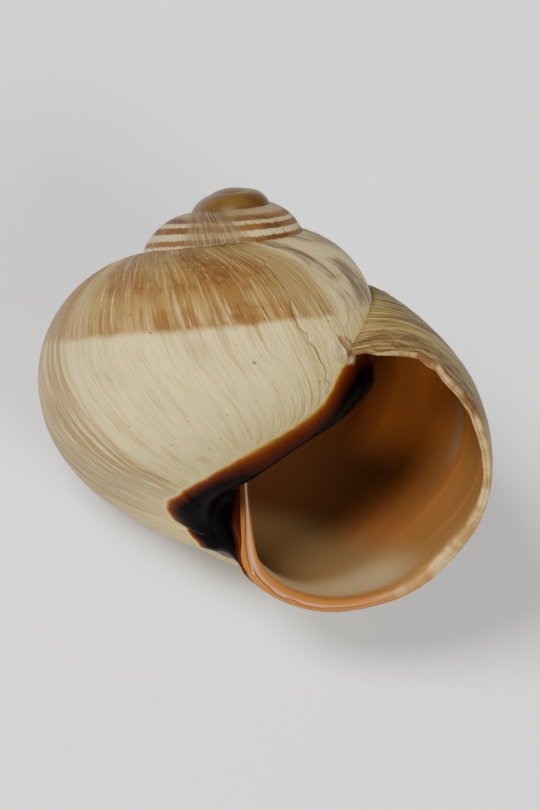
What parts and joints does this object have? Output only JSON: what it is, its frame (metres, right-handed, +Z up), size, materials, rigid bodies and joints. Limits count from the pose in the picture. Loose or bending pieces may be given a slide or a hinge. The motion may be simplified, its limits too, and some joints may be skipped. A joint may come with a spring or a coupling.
{
  "type": "land snail shell",
  "caption": "Globose right-handed coiled land snail shell, hollow with a wide open mouth and a low spire, lying on its back.",
  "frame": {"origin": "centre of the box round the shell, on the surface that it lies on", "axes": "+Z up from that surface, -Y the side that the mouth is seen from, +X towards the outer lip's side"},
  "size_m": [0.0264, 0.0194, 0.022],
  "materials": {
    "shell": "satin"
  },
  "bodies": {
    "root": {"shell": "shell"}
  },
  "joints": []
}
